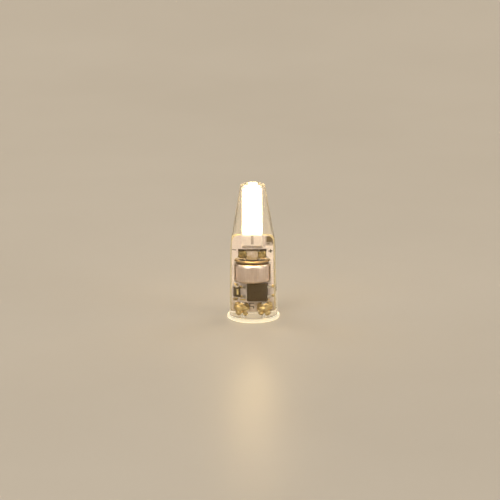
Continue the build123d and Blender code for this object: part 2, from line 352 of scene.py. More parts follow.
# %% Grain: a fine height and a roughness that follows it
grain, given, ends = new_group(
    "fine_grain", [("Scale", "Float", 4000.0), ("Smoothest", "Float", 0.3), ("Roughest", "Float", 0.5)],
    [("Height", "Float"), ("Roughness", "Float")])
specks = cloud(grain, places(grain), given["Scale"], 3.0, 0.55)
grain.links.new(specks, ends["Height"])
grain.links.new(ramp(grain, specks, 0.3, 0.7, given["Smoothest"], given["Roughest"]), ends["Roughness"])
print("group", grain.name)

# %% Drawn streaks: noise pulled out along one direction
streaks, given, ends = new_group(
    "drawn_streaks", [("Stretch", "Vector", (2500.0, 2500.0, 120.0))],
    [("Height", "Float"), ("Mask", "Float")])
pulled = {0: places(streaks), 1: given["Stretch"]}
lines = cloud(streaks, node(streaks, "ShaderNodeVectorMath", pulled, operation="MULTIPLY")[0], 1.0, 3.0)
streaks.links.new(lines, ends["Height"])
streaks.links.new(ramp(streaks, lines, 0.35, 0.65), ends["Mask"])
print("group", streaks.name)

# %% [markdown]
# From groups to finishes
#
# A finish takes its colour from the slow tone, its roughness and bump from the grain, and its plain numbers,
# such as metal or no metal, from the shader's own sockets. One function makes that base. The finishes that
# need more, such as the lit phosphor or the board, lay a colour, a height or a film over what it returns.

# %% A base for every finish
def open_up(material):
    """The tree of a material, and the inputs of its shader."""
    return material.node_tree, material.node_tree.nodes["Principled BSDF"].inputs


def new_material(name):
    material = bpy.data.materials.new(name)
    material.use_nodes = True
    return material


def add_bump(material, height, relief, strength=1.0):
    """Adds a height, in millimetres, to what already bends the surface."""
    tree, shader = open_up(material)
    inputs = {"Height": height, "Distance": relief * MM, "Strength": strength}
    if shader["Normal"].links:
        inputs["Normal"] = shader["Normal"].links[0].from_socket
    tree.links.new(node(tree, "ShaderNodeBump", inputs)["Normal"], shader["Normal"])


def lay_over(material, amount, colour, blend_type="MIX"):
    """Lays a colour over the surface, where the amount is high."""
    tree, shader = open_up(material)
    below = shader["Base Color"].links[0].from_socket
    tree.links.new(mix(tree, amount, below, colour, blend_type), shader["Base Color"])


def let_through(material, rays, colour=(1, 1, 1)):
    """Lets some rays pass straight through a material: those for which the socket is one."""
    tree = material.node_tree
    clear = node(tree, "ShaderNodeBsdfTransparent", {"Color": colour})[0]
    solid = tree.nodes["Principled BSDF"].outputs[0]
    both = node(tree, "ShaderNodeMixShader", {0: rays, 1: solid, 2: clear})[0]
    tree.links.new(both, tree.nodes["Material Output"].inputs["Surface"])


def finish(name, light, dark, smoothest, roughest, tone_scale=400.0, grain_scale=4000.0, relief=0.02,
           metal=0.0, coat=0.0, specular=0.5):
    """A material with drifting colour, uneven gloss and fine relief. Relief is in millimetres."""
    material = new_material(name)
    tree, shader = open_up(material)
    colour = group(tree, tone, {"Scale": tone_scale, "Light": light, "Dark": dark})
    surface = group(tree, grain, {"Scale": grain_scale, "Smoothest": smoothest, "Roughest": roughest})
    tree.links.new(colour["Color"], shader["Base Color"])
    tree.links.new(surface["Roughness"], shader["Roughness"])
    add_bump(material, surface["Height"], relief)
    shader["Metallic"].default_value = metal
    shader["Coat Weight"].default_value = coat
    shader["Specular IOR Level"].default_value = specular
    return material


def add_streaks(material, stretch, relief, dark):
    """Lays drawn streaks over a finish: they darken the metal a little and roughen it."""
    drawn = group(material.node_tree, streaks, {"Stretch": stretch})
    lay_over(material, drawn["Mask"], dark, "MULTIPLY")
    add_bump(material, drawn["Height"], relief)


def dress(name, material):
    """Gives a part of the frame its finish."""
    for slot in frame["nodes"][name].material_slots:
        slot.material = material


# %% [markdown]
# Floor, backdrop and light
#
# The bulb stands with its base on a pale floor that curves up behind it, so no horizon line cuts through the
# picture. The pins go down through the floor, as they would into a lamp holder. Studio light on a small
# glossy part comes from large soft sources: one above and to the left, a weaker one to the right, and a pair
# high behind, one on each side, which draw a pale line along both edges of the silicone. The lit strip in the
# nose is a lamp of its own, and it must still read as the brightest thing in the frame, so the lamps stay
# low. The floor lets rays through from below, so that the pins can be looked at too.

# %% Build the sweep of the floor and backdrop
FLOOR_GAP = 0.04  # below the base, in millimetres


def stage_material():
    material = new_material("pale_stage")
    tree, shader = open_up(material)
    colour = group(tree, tone, {"Scale": 6.0, "Light": (0.50, 0.455, 0.40), "Dark": (0.47, 0.425, 0.37)})
    tree.links.new(colour["Color"], shader["Base Color"])
    shader["Roughness"].default_value = 0.42
    shader["Specular IOR Level"].default_value = 0.4
    let_through(material, node(tree, "ShaderNodeNewGeometry")["Backfacing"])
    return material


def build_sweep():
    """A sheet, in metres, that runs level to the rear and then curves up."""
    bm = bmesh.new()
    under = FLOOR_GAP * MM
    profile = rounded([(-1.6, -under), (0.9, -under), (0.9, 1.8)], [0.6], steps=24)
    rows = [[bm.verts.new((x, y, z)) for x in (-2.2, 2.2)] for y, z in profile]
    for a, b in zip(rows, rows[1:]):
        bm.faces.new((a[0], a[1], b[1], b[0]))
    sweep = new_object("floor_sweep", bm, stage_material(), 180)
    return sweep


sweep = build_sweep()
print("floor and backdrop", len(sweep.data.polygons), "faces")


# %% Hang the lamps
WARM = (1.0, 0.94, 0.84)
LIT_MIDDLE = Vector((0, 0, 0.018))


def area_lamp(name, place, size, power, colour=WARM):
    """A soft lamp, in metres, that points at the middle of the bulb."""
    data = bpy.data.lights.new(name, "AREA")
    data.shape = "RECTANGLE"
    data.size, data.size_y = size
    data.energy = power
    data.color = colour
    lamp = bpy.data.objects.new(name, data)
    lamp.location = place
    lamp.rotation_euler = (LIT_MIDDLE - Vector(place)).to_track_quat("-Z", "Y").to_euler()
    bpy.context.scene.collection.objects.link(lamp)


area_lamp("key", (-0.45, -0.55, 0.75), (0.5, 0.5), 3.4)
area_lamp("fill", (0.7, -0.4, 0.35), (0.4, 0.6), 1.2)
for name, side in (("rim_left", -1), ("rim_right", 1)):
    area_lamp(name, (side * 0.5, 0.4, 0.62), (0.35, 0.3), 1.9, (1.0, 0.92, 0.78))

world = bpy.data.worlds.new("studio")
bpy.context.scene.world = world
world.use_nodes = True
air = world.node_tree.nodes["Background"].inputs
air["Color"].default_value = (1.0, 0.94, 0.83, 1)
air["Strength"].default_value = 0.6

# %% [markdown]
# The board
#
# The real board is a white lacquered laminate, one millimetre thick. Its cut edges show the tan laminate, and
# under the lacquer the copper tracks stand up by a few hundredths. The frame's own board already has the
# right shape, so it stays and gets a finish. The tracks are a brick pattern used as a height, which costs no
# mesh and gives straight lines with square turns. The edge colour comes from which way a face points.

# %% Finish the board
def board_finish():
    material = finish("white_board", (0.86, 0.79, 0.81), (0.79, 0.71, 0.735), 0.22, 0.36, 260, 3000, 0.006,
                      coat=0.25)
    tree, shader = open_up(material)
    coord = node(tree, "ShaderNodeTexCoord")
    upright = node(tree, "ShaderNodeMapping", {"Vector": coord["Object"], "Rotation": (math.pi / 2, 0, 0)})
    tracks = node(tree, "ShaderNodeTexBrick", {
        "Vector": upright[0], "Scale": 300.0, "Mortar Size": 0.03, "Mortar Smooth": 0.6, "Color1": (0, 0, 0),
        "Color2": (0.2, 0.2, 0.2), "Mortar": (1, 1, 1), "Brick Width": 0.9, "Row Height": 0.42})
    add_bump(material, tracks["Color"], 0.03, 0.6)
    outward = node(tree, "ShaderNodeSeparateXYZ", {0: coord["Normal"]})["Y"]
    lay_over(material, maths(tree, "LESS_THAN", maths(tree, "ABSOLUTE", outward), 0.5), (0.52, 0.44, 0.26))
    return material


board_white = board_finish()
dress("circuit_board", board_white)
print("board finished", [round(v, 2) for v in board_high - board_low])

# %% [markdown]
# Painted shade on the board
#
# The board is darker low down and on the tongue in the window, and this is painted as an amber film: on
# the tongue it is painted shade, and low on the board it is painted shade that also stands for the flux that
# soldering by hand leaves. In the upper corner, to the right of the strip's foot, a nearly black patch is
# painted shade. It has no thickness, so it is colour only: soft bounds from the place on the board, broken up
# by noise.

# %% Paint shade on the board
SHADE_TOP = (5.4, 3.6)  # the painted shade fades in between these heights, all in millimetres
TONGUE_HALF = (1.3, 1.0)
TONGUE_MIDDLE, TONGUE_REACH = 16.6, (1.8, 1.2)
CORNER_SHADE_BOTTOM, CORNER_SHADE_TOP, CORNER_SHADE_LEFT = (18.6, 19.4), (21.4, 21.1), (2.2, 2.7)


def add_painted_shade(material):
    tree, shader = open_up(material)
    coord = node(tree, "ShaderNodeTexCoord")
    x, y, z = node(tree, "ShaderNodeSeparateXYZ", {0: coord["Object"]})
    blots = cloud(tree, coord["Object"], 700.0, 3.0)

    def fade(value, bounds):
        return ramp(tree, value, bounds[0] * MM, bounds[1] * MM)

    def away(value, place):
        return maths(tree, "ABSOLUTE", maths(tree, "SUBTRACT", value, place * MM))

    tongue = product(tree, fade(away(x, board_x), TONGUE_HALF), fade(away(z, TONGUE_MIDDLE), TONGUE_REACH))
    shade_film = maths(tree, "MAXIMUM", fade(z, SHADE_TOP), tongue)
    # painted shade: amber on the tongue, and low on the board, where it also stands for flux
    lay_over(material, ramp(tree, product(tree, shade_film, blots), 0.1, 0.65), (0.36, 0.27, 0.14))
    front = ramp(tree, node(tree, "ShaderNodeSeparateXYZ", {0: coord["Normal"]})["Y"], -0.3, -0.6)
    aside = maths(tree, "SUBTRACT", x, board_x * MM)
    # painted shade: nearly black, in the corner to the right of the strip's foot
    corner_shade = product(tree, fade(z, CORNER_SHADE_BOTTOM), fade(z, CORNER_SHADE_TOP), front, fade(aside, CORNER_SHADE_LEFT),
                    ramp(tree, blots, 0.22, 0.42))
    lay_over(material, corner_shade, (0.11, 0.08, 0.04))


add_painted_shade(board_white)
print("shaded", board_white.name, len(board_white.node_tree.nodes), "nodes")

# %% [markdown]
# Print on the board and on the strip
#
# The board carries a minus and a plus beside the strip's feet, a fine line on each side of the can's foot,
# and a bent line below the capacitor. They are printed in dark ink, a few hundredths thick, and made of thin
# bars laid on the face. A text object would do as well, but bars keep the square ends that screen printing
# gives. On the strip's bare foot, a grey bar of resist keeps the solder of the two contacts apart.

# %% Lay the printed marks
PRINT = 0.02  # how thick ink and resist lie
MINUS = [(-3.55, 17.8, 0.95, 0.2)]  # each bar's place, width and height
PLUS = [(3.2, 17.5, 0.8, 0.26), (3.2, 17.5, 0.26, 0.8)]
BENT_LINE = [(-0.3, 3.85, 0.85, 0.2), (-0.63, 3.45, 0.2, 0.9), (-0.3, 3.0, 0.8, 0.2), (0.05, 2.7, 0.2, 0.5)]
CASE_LINES = [(board_x + side * 2.9, 9.05, 0.9, 0.1) for side in (-1, 1)]

bars = [((wide, PRINT, tall), (x, board_front - PRINT / 2, z))
        for x, z, wide, tall in MINUS + PLUS + BENT_LINE + CASE_LINES]
ink = finish("dark_ink", (0.06, 0.055, 0.06), (0.11, 0.1, 0.1), 0.5, 0.7, relief=0.004)
build_blocks("board_print", bars, 0.006, 1, ink, "white_board")

low, high = box("led_contact_pads")
bar = (0.5, PRINT, high.z - low.z - 0.25)
spot = ((low.x + high.x) / 2, box("led_substrate")[0].y - PRINT / 2, (low.z + high.z) / 2 + 0.05)
resist = finish("grey_resist", (0.50, 0.44, 0.42), (0.42, 0.36, 0.35), 0.45, 0.6, relief=0.004)
build_blocks("strip_gap_mark", [(bar, spot)], 0.006, 1, resist, "white_ceramic")

# %% [markdown]
# The led strip
#
# The strip is white ceramic with a row of tiny chips under a coat of phosphor. Seen lit, the coat is one
# even, warm, nearly white glow that is a little stronger over each chip. The coat is a soft-edged pad made
# with a bevel, and the glow is the shader's emission. Its colour varies along the strip, because the export
# keeps an emission colour, and the strength stays a plain number.

# %% Make the glowing coats
def phosphor_finish():
    material = finish("lit_phosphor", (0.98, 0.86, 0.55), (0.95, 0.80, 0.46), 0.5, 0.7, relief=0.01)
    tree, shader = open_up(material)
    spaced = node(tree, "ShaderNodeMapping", {"Vector": places(tree), "Scale": (700, 0, 900)})[0]
    chips = node(tree, "ShaderNodeTexVoronoi", {"Vector": spaced, "Scale": 1.0, "Randomness": 0.0},
                 feature="F1")
    glow = mix(tree, ramp(tree, chips["Distance"], 0.15, 0.6), (1.0, 0.77, 0.42), (1.0, 0.71, 0.34))
    tree.links.new(glow, shader["Emission Color"])
    shader["Emission Strength"].default_value = 18.0
    return material


phosphor = phosphor_finish()
for name in ("phosphor_front", "phosphor_back"):
    low, high = box(name)
    build_blocks(name + "_coat", [(high - low, (low + high) / 2)], 0.14, 4, phosphor, "lit_phosphor", [name])

ceramic = finish("white_ceramic", (0.92, 0.87, 0.86), (0.85, 0.79, 0.78), 0.35, 0.5, 500, 9000, 0.004)
dress("led_substrate", ceramic)

# %% [markdown]
# Bare metal
#
# Several metals show here: solder, dull tin on leads and pads, thin gold, the drawn aluminium can and the
# steel of the capacitor's leads. All are the same base with the metal number at one, or lower where a bright
# surface must look even from all sides. What tells them apart is colour, how even the gloss is, and the
# height: solder is smooth and lumpy, tin is frosted, and the can carries long streaks from the tool that drew
# it. The gold tone of the solder colours is painted light from the strip. The dark olive of the shaded solder
# is painted shade, and the near-white of the lit solder is painted light that keeps it bright in the foot's
# shade.

# %% Finish the metals
METALS = {  # two colours, smoothest and roughest, tone scale, grain scale, relief, metal
    # painted light: the gold in these solder colours is the strip's warm light
    "solder": ((0.68, 0.54, 0.29), (0.44, 0.34, 0.16), 0.18, 0.4, 1300, 5000, 0.0015, 1.0),
    "heap_solder": ((0.58, 0.45, 0.23), (0.36, 0.27, 0.12), 0.26, 0.5, 900, 3500, 0.002, 1.0),
    # painted shade: dark olive solder for the shaded throat of the window
    "shaded_solder": ((0.50, 0.40, 0.19), (0.20, 0.15, 0.06), 0.24, 0.46, 1800, 4000, 0.004, 1.0),
    # painted light: near-white, low-metal solder that stays bright in the shade of the strip's foot
    "lit_solder": ((1.0, 0.92, 0.90), (0.92, 0.80, 0.75), 0.32, 0.5, 1500, 3000, 0.01, 0.2),
    "tinned_pad": ((0.95, 0.88, 0.88), (0.86, 0.78, 0.78), 0.38, 0.55, 1500, 6000, 0.004, 0.4),
    "gold_pad": ((0.80, 0.66, 0.36), (0.62, 0.48, 0.22), 0.25, 0.45, 1500, 6000, 0.004, 1.0),
    "tinned_lead": ((0.80, 0.78, 0.74), (0.62, 0.60, 0.56), 0.26, 0.46, 1800, 7000, 0.003, 1.0),
    "tinned_cap": ((0.84, 0.83, 0.80), (0.68, 0.66, 0.62), 0.24, 0.44, 1500, 7000, 0.004, 1.0),
    "tinned_pin": ((0.84, 0.82, 0.77), (0.66, 0.63, 0.57), 0.18, 0.38, 900, 5000, 0.002, 1.0),
    "tinned_steel": ((0.80, 0.78, 0.72), (0.6, 0.57, 0.5), 0.22, 0.4, 1500, 5000, 0.003, 1.0),
    "can_metal": ((0.84, 0.74, 0.71), (0.72, 0.61, 0.57), 0.28, 0.4, 300, 3500, 0.003, 1.0),
}
metals = {name: finish(name, *numbers) for name, numbers in METALS.items()}
add_streaks(metals["tinned_pin"], (6000, 6000, 300), 0.0015, (0.86, 0.85, 0.83))
add_streaks(metals["can_metal"], (5000, 5000, 180), 0.003, (0.88, 0.86, 0.86))
dress("led_contact_pads", metals["tinned_pad"])
dress("inductor_terminals", metals["tinned_lead"])
print("metals", list(metals))

# %% [markdown]
# The capacitor
#
# The capacitor's can is drawn from one disc of aluminium. A wheel rolls a groove below the mouth to grip the
# rubber bung, and then the rim is curled in over it. A turned shape is the right tool: one line from the
# middle of the floor, up the wall, through the groove and over the rim, turned about the upright axis. Its
# corners are rounded by the radius that sheet metal takes when it is rolled. The groove is darkened by
# painted shade, and the curled rim carries a painted golden reflection of the strip above it. Both are marked
# on the points of the can and read by its finish.

# %% Turn the can
can_low, can_high = box("capacitor_can")
CAN_RADIUS = (can_high.x - can_low.x) / 2
CAN_HEIGHT = can_high.z - can_low.z
CAN_AXIS = Vector(((can_low.x + can_high.x) / 2, (can_low.y + can_high.y) / 2))
can_place = Matrix.Translation((*CAN_AXIS, can_low.z))
GROOVE_DEPTH = 0.42
RIM_OPENING = 2.25
RIM_BAND = 0.45  # height of the band with the painted golden reflection, and below it the painted shade


# painted shade: how deep a point lies in the groove, which darkens it
def shade_in_groove(p):
    depth = CAN_RADIUS - (Vector((p.x, p.y)) - CAN_AXIS).length
    inside = can_high.z - 1.25 < p.z < can_high.z - RIM_BAND
    return min(1.0, depth / GROOVE_DEPTH) if inside else 0.0


# painted reflection: the band of the curled rim that is tinted gold
def glint_on_rim(p):
    return float(p.z > can_high.z - RIM_BAND)


neck, rim, top = CAN_RADIUS - GROOVE_DEPTH, CAN_RADIUS - 0.14, CAN_HEIGHT
line = rounded(
    [(0, 0), (CAN_RADIUS, 0), (CAN_RADIUS, top - 1.85), (CAN_RADIUS - 0.13, top - 1.36), (neck, top - 1.03),
     (neck, top - 0.72), (rim, top - 0.42), (rim, top), (RIM_OPENING, top), (RIM_OPENING, top - 0.3),
     (RIM_OPENING - 0.02, top - 0.3), (0, top - 0.3)],
    [0.5, 0.7, 0.5, 0.1, 0.12, 0.14, 0.2, 0.12, 0, 0])
drawn = metals["can_metal"]
can = build_turned("capacitor_can_drawn", line, can_place, 128, drawn, "can_metal", ["capacitor_can"])
# painted shade in the groove (marked hollow) and a painted golden reflection on the rim
painted_shade_and_glint = (("hollow", shade_in_groove, (0.14, 0.10, 0.05)), ("rim_glint", glint_on_rim, (0.52, 0.38, 0.21)))
for name, value_at, colour in painted_shade_and_glint:
    add_marks(can, name, value_at)
    lay_over(drawn, node(drawn.node_tree, "ShaderNodeAttribute", attribute_name=name)["Fac"], colour)

# %% [markdown]
# The bung
#
# The rubber bung is clamped in the groove, and only its crown stands in the rim's opening. It is matt, with
# the dull sheen of moulded rubber.

# %% Turn the bung
foot, top, radius = CAN_HEIGHT - 0.9, CAN_HEIGHT - 0.12, RIM_OPENING - 0.01
line = rounded([(0, foot), (radius, foot), (radius, top - 0.05), (radius - 0.29, top), (0, top)],
               [0, 0.08, 0.15])
rubber = finish("black_rubber", (0.035, 0.032, 0.03), (0.06, 0.056, 0.052), 0.5, 0.72, 700, 6000, 0.008)
build_turned("capacitor_bung_crown", line, can_place, 96, rubber, "black_rubber", ["capacitor_bung"])

# %% [markdown]
# Leads and solder of the capacitor
#
# Two wires rise from the bung into the window, one on each side of the board's tongue. The whole throat of
# the window beside the tongue is full of solder, which shows as two dark golden patches with the pale tongue
# between them. Such a mass has flat sides where it meets the board and a swollen, uneven face. It is made
# from a fine ball pressed into a rounded block, and noise dents it, so that it glints in several places.
# Along the window's upper edge lies a painted shadow: a thin dark run where shade falls below the edge. It is
# three blocks with soft edges: a long one, and a thicker one over each mass of solder.

# %% Draw the leads
LEAD_RADIUS = 0.22

low, high = box("capacitor_leads")
line = rounded([(0, low.z), (LEAD_RADIUS, low.z), (LEAD_RADIUS, high.z), (0, high.z)], [0.0, 0.12])
bm = bmesh.new()
for x in (low.x + LEAD_RADIUS, high.x - LEAD_RADIUS):
    add_turned(bm, line, Matrix.Translation((x, board_middle, 0)), 32)
new_piece("capacitor_wires", bm, metals["tinned_steel"], "tinned_steel", ["capacitor_leads"])

# %% Fill the throat of the window
SQUARENESS = 5.0  # two is a ball, and a large number is a block
DENTS = 0.16
TONGUE = 0.97  # half the tongue's width, with the gap beside it


def add_mass(bm, low, high, seed):
    """A swollen block of solder that fills the space between two corners."""
    centre, half = (low + high) / 2, (high - low) / 2

    def point_at(d):
        p = d / sum(abs(c) ** SQUARENESS for c in d) ** (1 / SQUARENESS)
        broad = noise.noise(p * 1.7 + Vector((seed, 0, seed)))
        fine = noise.noise(p * 4.3 + Vector((0, seed, 0)))
        shrink = 1 - DENTS * max(0.0, broad + 0.5 * fine)
        return centre + Vector((p.x * half.x * (1 - 0.02 * abs(p.y)), p.y * half.y * shrink,
                                p.z * half.z * shrink))

    add_ball(bm, point_at)


low, high = box("capacitor_solder")
bm = bmesh.new()
add_mass(bm, low, Vector((board_x - TONGUE, high.y, high.z)), 2.0)
add_mass(bm, Vector((board_x + TONGUE, low.y, low.z)), high, 9.0)
# the dark olive of this solder is painted shade
new_piece("capacitor_throat_fill", bm, metals["shaded_solder"], "solder", ["capacitor_solder"])

# %% Lay the painted shadow along the window's upper edge
WINDOW_TOP = 18.0
SHADOW_RUNS = [(0, 5.0, 0.34), (-1.95, 1.2, 0.5), (1.95, 1.2, 0.5)]  # place, width and height

front = box("capacitor_solder")[0].y - 0.05
deep, y = board_middle - front, (board_middle + front) / 2
blocks = [((wide, deep, tall), (board_x + x, y, WINDOW_TOP - tall / 2 + 0.06)) for x, wide, tall in SHADOW_RUNS]
# painted shadow: dark blocks where shade falls under the window's upper edge
edge_shadow = finish("painted_edge_shadow", (0.022, 0.016, 0.01), (0.05, 0.036, 0.02), 0.25, 0.5, relief=0.01)
build_blocks("window_edge_shadow", blocks, 0.08, 3, edge_shadow, "white_board")

# %% [markdown]
# Moulded black cases
#
# The rectifier, the diode and the driver chip are moulded in black epoxy. Such a case is widest at the line
# where the two halves of the mould met, and it narrows by a few degrees to both sides so that it comes out.
# Three loops of corners make that form, and a small bevel takes the sharpness off every edge. The surface is
# matt from fine sparks in the mould, and the glints of its glass grains are painted as pale specks. The pale
# bar on the diode's face is a painted reflection: the glint along its glossy top.

# %% Finish the epoxy
def epoxy_finish():
    material = finish("black_moulding", (0.02, 0.014, 0.007), (0.034, 0.025, 0.013), 0.5, 0.7, 900, 14000,
                      0.004, specular=0.25)
    tree, shader = open_up(material)
    # painted glints: pale specks where glass grains catch the light
    glint_specks = node(tree, "ShaderNodeTexVoronoi", {"Vector": places(tree), "Scale": 9000.0}, feature="F1")
    lay_over(material, ramp(tree, glint_specks["Distance"], 0.12, 0.05), (0.09, 0.085, 0.08))
    return material


epoxy = epoxy_finish()
print("finish", epoxy.name)

# %% Mould the cases
STANDOFF = 0.1  # the cases stand this far off the board
MOULD_DRAFT = math.radians(6.0)


def case_sizes(name):
    low, high = box(name)
    return high.x - low.x, high.z - low.z, high.y - low.y, (low + high) / 2


def build_case(name, front, bevel=0.0, edge=0.07):
    """A case in its own frame: wide along x, high along y, tall along z. A bevel cuts off one long edge."""
    wide, tall, high, centre = case_sizes(name)
    draft = math.tan(MOULD_DRAFT) * high / 2
    loops = [(STANDOFF, draft, 0.0), (STANDOFF + high / 2, 0.0, 0.0), (STANDOFF + high, draft, bevel)]
    if bevel:
        loops.insert(2, (STANDOFF + high - bevel, draft * 0.4, 0.0))
    bm = bmesh.new()
    rows = []
    for y, inset, cut in loops:
        w, t = wide / 2 - inset, tall / 2 - inset
        corners = ((cut - w, y, -t), (w, y, -t), (w, y, t), (cut - w, y, t))
        rows.append([bm.verts.new(p) for p in corners])
    bm.faces.new(list(reversed(rows[0])))
    bm.faces.new(rows[-1])
    skin(bm, rows)
    soften(bm, list(bm.verts), edge, 3, on_board(front, centre.x, centre.z))
    new_piece(name.replace("_body", "_case"), bm, epoxy, "black_moulding", [name])


build_case("rectifier_body", True, bevel=0.35)
build_case("diode_body", True)
low, high = box("diode_body")
# painted reflection: a pale gold bar for the glint along the diode's top
spot = ((low.x + high.x) / 2, low.y - 0.006, (low.z + high.z) / 2 + 0.1)
diode_glint = finish("diode_glint", (0.62, 0.52, 0.26), (0.5, 0.41, 0.19), 0.4, 0.6, relief=0.004)
build_blocks("diode_painted_glint", [((0.42, PRINT, 1.5), spot)], 0.006, 1, diode_glint, "black_moulding")
build_case("driver_chip_body", False, edge=0.05)

# %% [markdown]
# Rows of leads
#
# The leads of a moulded part are all alike: each leaves the case level, bends down to the board and ends in a
# flat foot. So one lead is drawn with rounded bends, and Geometry Nodes repeats it: a row at an even pitch on
# one side of the case, and a second row turned half round for the other side. The pitch and the counts are
# named inputs, so the same tree serves the rectifier, the diode and the driver chip. The tree ends with real
# geometry and its material, and the result is baked to a plain mesh.

# %% Build the tree that sets leads in rows
def end_tree(tree, geometry, finish_socket, ends):
    """Every tree ends with real geometry that wears its finish."""
    real = node(tree, "GeometryNodeRealizeInstances", {0: geometry})[0]
    dressed = node(tree, "GeometryNodeSetMaterial", {"Geometry": real, "Material": finish_socket})[0]
    tree.links.new(dressed, ends[0])


def lead_rows_tree():
    tree, given, ends = new_group(
        "rows_of_leads", [("Lead", "Geometry"), ("Near Count", "Int"), ("Far Count", "Int"),
                          ("Near Step", "Float"), ("Far Step", "Float"), ("Finish", "Material")],
        [("Geometry", "Geometry")], "GeometryNodeTree")
    both = tree.nodes.new("GeometryNodeJoinGeometry")
    for side, turn in (("Near", 0.0), ("Far", math.pi)):
        count, step = given[side + " Count"], given[side + " Step"]
        start = product(tree, maths(tree, "SUBTRACT", count, 1.0), step, -0.5)
        points = node(tree, "GeometryNodeMeshLine", {
            "Count": count, "Start Location": node(tree, "ShaderNodeCombineXYZ", {2: start})[0],
            "Offset": node(tree, "ShaderNodeCombineXYZ", {2: step})[0]}, mode="OFFSET")
        placed = node(tree, "GeometryNodeInstanceOnPoints", {"Points": points[0], "Instance": given["Lead"]})
        row = node(tree, "GeometryNodeTransform", {"Geometry": placed[0], "Rotation": (0, turn, 0)})
        tree.links.new(row[0], both.inputs[0])
    end_tree(tree, both.outputs[0], given["Finish"], ends)
    return tree


lead_rows = lead_rows_tree()
print("tree", lead_rows.name, [i.name for i in lead_rows.interface.items_tree])


# %% Run a tree and keep its result as a plain mesh
def bake_tree(bm, tree, values, place):
    """Runs a tree on a bmesh in millimetres and returns the result, set in its place, as a new bmesh."""
    source = bpy.data.meshes.new("source")
    bm.to_mesh(source)
    bm.free()
    holder = bpy.data.objects.new("holder", source)
    bpy.context.scene.collection.objects.link(holder)
    modifier = holder.modifiers.new("tree", "NODES")
    modifier.node_group = tree
    for item in tree.interface.items_tree:
        if item.in_out == "INPUT" and item.name in values:
            modifier[item.identifier] = values[item.name]
    baked = bpy.data.meshes.new_from_object(holder.evaluated_get(bpy.context.evaluated_depsgraph_get()))
    out = bmesh.new()
    out.from_mesh(baked)
    bmesh.ops.transform(out, matrix=place, verts=out.verts)
    bpy.data.objects.remove(holder)
    bpy.data.meshes.remove(baked)
    bpy.data.meshes.remove(source)
    return out


# %% Draw one lead
LEAD_SHEET = 0.2
LEAD_SHOULDER = 0.12
LEAD_HEEL = 0.55  # share of the reach at which the lead has come down
SHEET_EDGE = 0.03


def one_lead(case_half, exit_height, reach, width):
    """A lead of bent sheet in the row's frame: it leaves the case at case_half and ends at its reach."""
    half = LEAD_SHEET / 2
    centre = rounded([(case_half - 0.2, exit_height), (case_half + LEAD_SHOULDER, exit_height),
                      (case_half + reach * LEAD_HEEL, half), (case_half + reach, half)], [0.14, 0.14])
    above, below = [], []
    for i, p in enumerate(centre):
        along = (centre[min(i + 1, len(centre) - 1)] - centre[max(i - 1, 0)]).normalized()
        side = Vector((-along.y, along.x)) * half
        above.append(p + side)
        below.append(p - side)
    bm = bmesh.new()
    outer, inner = width / 2, width / 2 - SHEET_EDGE
    loops = []
    for z, shrink in ((-outer, SHEET_EDGE), (-inner, 0.0), (inner, 0.0), (outer, SHEET_EDGE)):
        loop = [a + (b - a).normalized() * shrink for a, b in zip(above, below)]
        loop += [b + (a - b).normalized() * shrink for a, b in reversed(list(zip(above, below)))]
        loops.append([bm.verts.new((p.x, max(p.y, 0.001), z)) for p in loop])
    skin(bm, loops)
    n = len(above)
    for loop in (loops[0], loops[-1]):
        for i in range(n - 1):
            bm.faces.new((loop[i], loop[i + 1], loop[2 * n - 2 - i], loop[2 * n - 1 - i]))
    return bm


# %% Set the leads of the three cases
def build_leads(name, part, front, upright, near, far, step_near, step_far, width):
    wide, tall, high, centre = case_sizes(part + "_body")
    low, top = box(part + "_leads")
    across, span = (tall, top.z - low.z) if upright else (wide, top.x - low.x)
    lead = one_lead(across / 2, STANDOFF + high / 2, (span - across) / 2, width)
    place = on_board(front, centre.x, centre.z, (0, 1) if upright else (1, 0))
    values = {"Near Count": near, "Far Count": far, "Near Step": step_near, "Far Step": step_far,
              "Finish": metals["tinned_lead"]}
    new_piece(name, bake_tree(lead, lead_rows, values, place), metals["tinned_lead"], "tinned_lead",
              [part + "_leads"])


build_leads("rectifier_pins", "rectifier", True, False, 2, 2, 2.5, 2.5, 0.6)
build_leads("diode_tabs", "diode", True, True, 1, 1, 1.0, 1.0, 0.75)
build_leads("driver_chip_pins", "driver_chip", False, False, 2, 3, 1.9, 0.95, 0.4)

# %% [markdown]
# Solder on pads
#
# Each foot sits on a copper pad and in a small pool of solder, which climbs the foot's end and the sides and
# runs out hollow to the pad's edge. A pool is made as a cushion of points over the pad: its height falls from
# the middle as a hollow curve, and noise makes each one its own shape. The pads themselves are thin plates
# that show as a bright rim round the pool.

# %% Pour the pools on the front
def add_pool(bm, place, long_half, wide_half, height, seed=0.0, power=1.7, cells=14):
    """A pool of solder in the board's frame: its outline is a rounded square, its top hollow at the rim."""
    grid = []
    steps = [2 * i / cells - 1 for i in range(cells + 1)]
    for u in steps:
        row = []
        for w in steps:
            x, z = u * math.sqrt(1 - 0.36 * w * w), w * math.sqrt(1 - 0.36 * u * u)
            rise = (1 - max(abs(u), abs(w)) ** 2.2) ** power
            lump = noise.noise(Vector((u * 1.3 + seed, w * 1.3, seed * 2.1)))
            y = 0.004 + height * rise * (1 + 0.25 * lump)
            row.append(bm.verts.new(place @ Vector((x * long_half, y, z * wide_half))))
        grid.append(row)
    for i in range(cells):
        for j in range(cells):
            bm.faces.new((grid[i][j], grid[i + 1][j], grid[i + 1][j + 1], grid[i][j + 1]))
    rim = [row[0] for row in grid[:-1]] + grid[-1][:-1] + [row[-1] for row in grid[:0:-1]] + grid[0][:0:-1]
    bm.faces.new(list(reversed(rim)))


